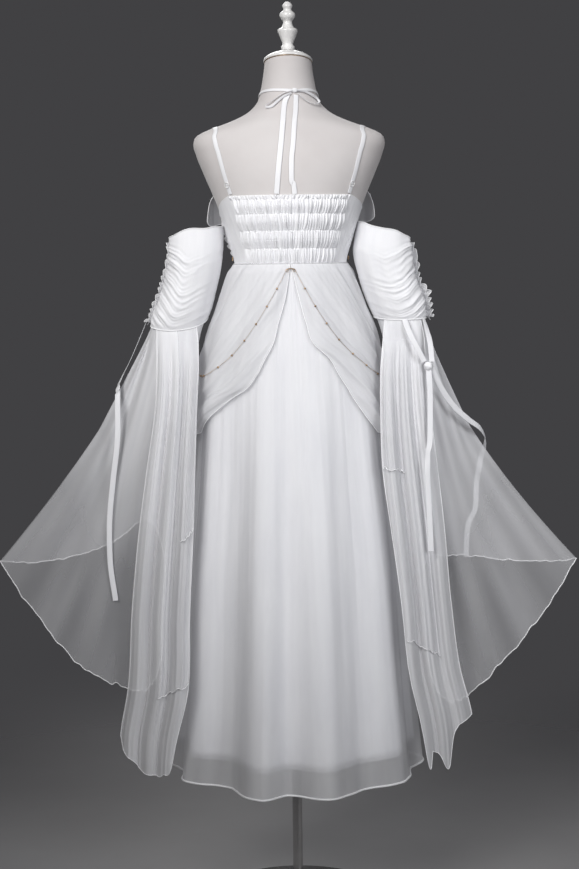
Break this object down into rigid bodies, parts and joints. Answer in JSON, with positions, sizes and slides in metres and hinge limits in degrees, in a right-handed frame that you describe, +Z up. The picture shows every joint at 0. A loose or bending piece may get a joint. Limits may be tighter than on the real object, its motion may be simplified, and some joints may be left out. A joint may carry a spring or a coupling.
{
  "type": "halter dress on a dress form",
  "caption": "Long white halter dress with a shirred back, draped overskirt and detached bell sleeves, worn by a limbless dress form on a round stand.",
  "frame": {"origin": "middle of the round base's flat underside, on the floor", "axes": "+Z up the pole; +Y towards the dress's back, -Y its front; +X the wearer's left"},
  "size_m": [1.1666, 0.5151, 1.8146],
  "materials": {
    "ivory_jersey": "matt stretch knit",
    "white_lacquer": "glossy white",
    "bright_steel": "polished",
    "white_satin": "soft sheen",
    "white_chiffon": "sheer, soft",
    "white_ribbon": "soft sheen",
    "pale_gold": "satin gilt"
  },
  "bodies": {
    "root": {"form_torso": "ivory_jersey", "form_cap": "white_lacquer", "form_finial": "white_lacquer", "strap_slider_left": "white_lacquer", "strap_slider_right": "white_lacquer", "stand_pole": "bright_steel", "stand_base": "bright_steel", "bodice_back": "white_satin", "bodice_side_left": "white_satin", "bodice_side_right": "white_satin", "bodice_front": "white_satin", "lining_back": "white_satin", "lining_front": "white_satin", "front_drape_left": "white_chiffon", "front_drape_right": "white_chiffon", "skirt_back": "white_chiffon", "skirt_front": "white_chiffon", "overskirt_left": "white_chiffon", "overskirt_right": "white_chiffon", "sleeve_puff_left": "white_chiffon", "sleeve_puff_right": "white_chiffon", "sleeve_wing_left": "white_chiffon", "sleeve_wing_right": "white_chiffon", "sleeve_fall_left": "white_chiffon", "sleeve_fall_right": "white_chiffon", "strap_left": "white_ribbon", "strap_right": "white_ribbon", "halter_band_left": "white_ribbon", "halter_band_right": "white_ribbon", "halter_knot": "white_ribbon", "halter_tail_left": "white_ribbon", "halter_tail_right": "white_ribbon", "halter_loop_left": "white_ribbon", "halter_loop_right": "white_ribbon", "tie_left": "white_ribbon", "tie_right_inner": "white_ribbon", "tie_right_outer": "white_ribbon", "tie_right_knot": "white_ribbon", "tie_right_tail_long": "white_ribbon", "tie_right_tail_back": "white_ribbon", "chain_left": "pale_gold", "chain_right": "pale_gold", "chain_clasp": "pale_gold", "waist_ornament_left": "pale_gold", "waist_ornament_right": "pale_gold"}
  },
  "joints": []
}
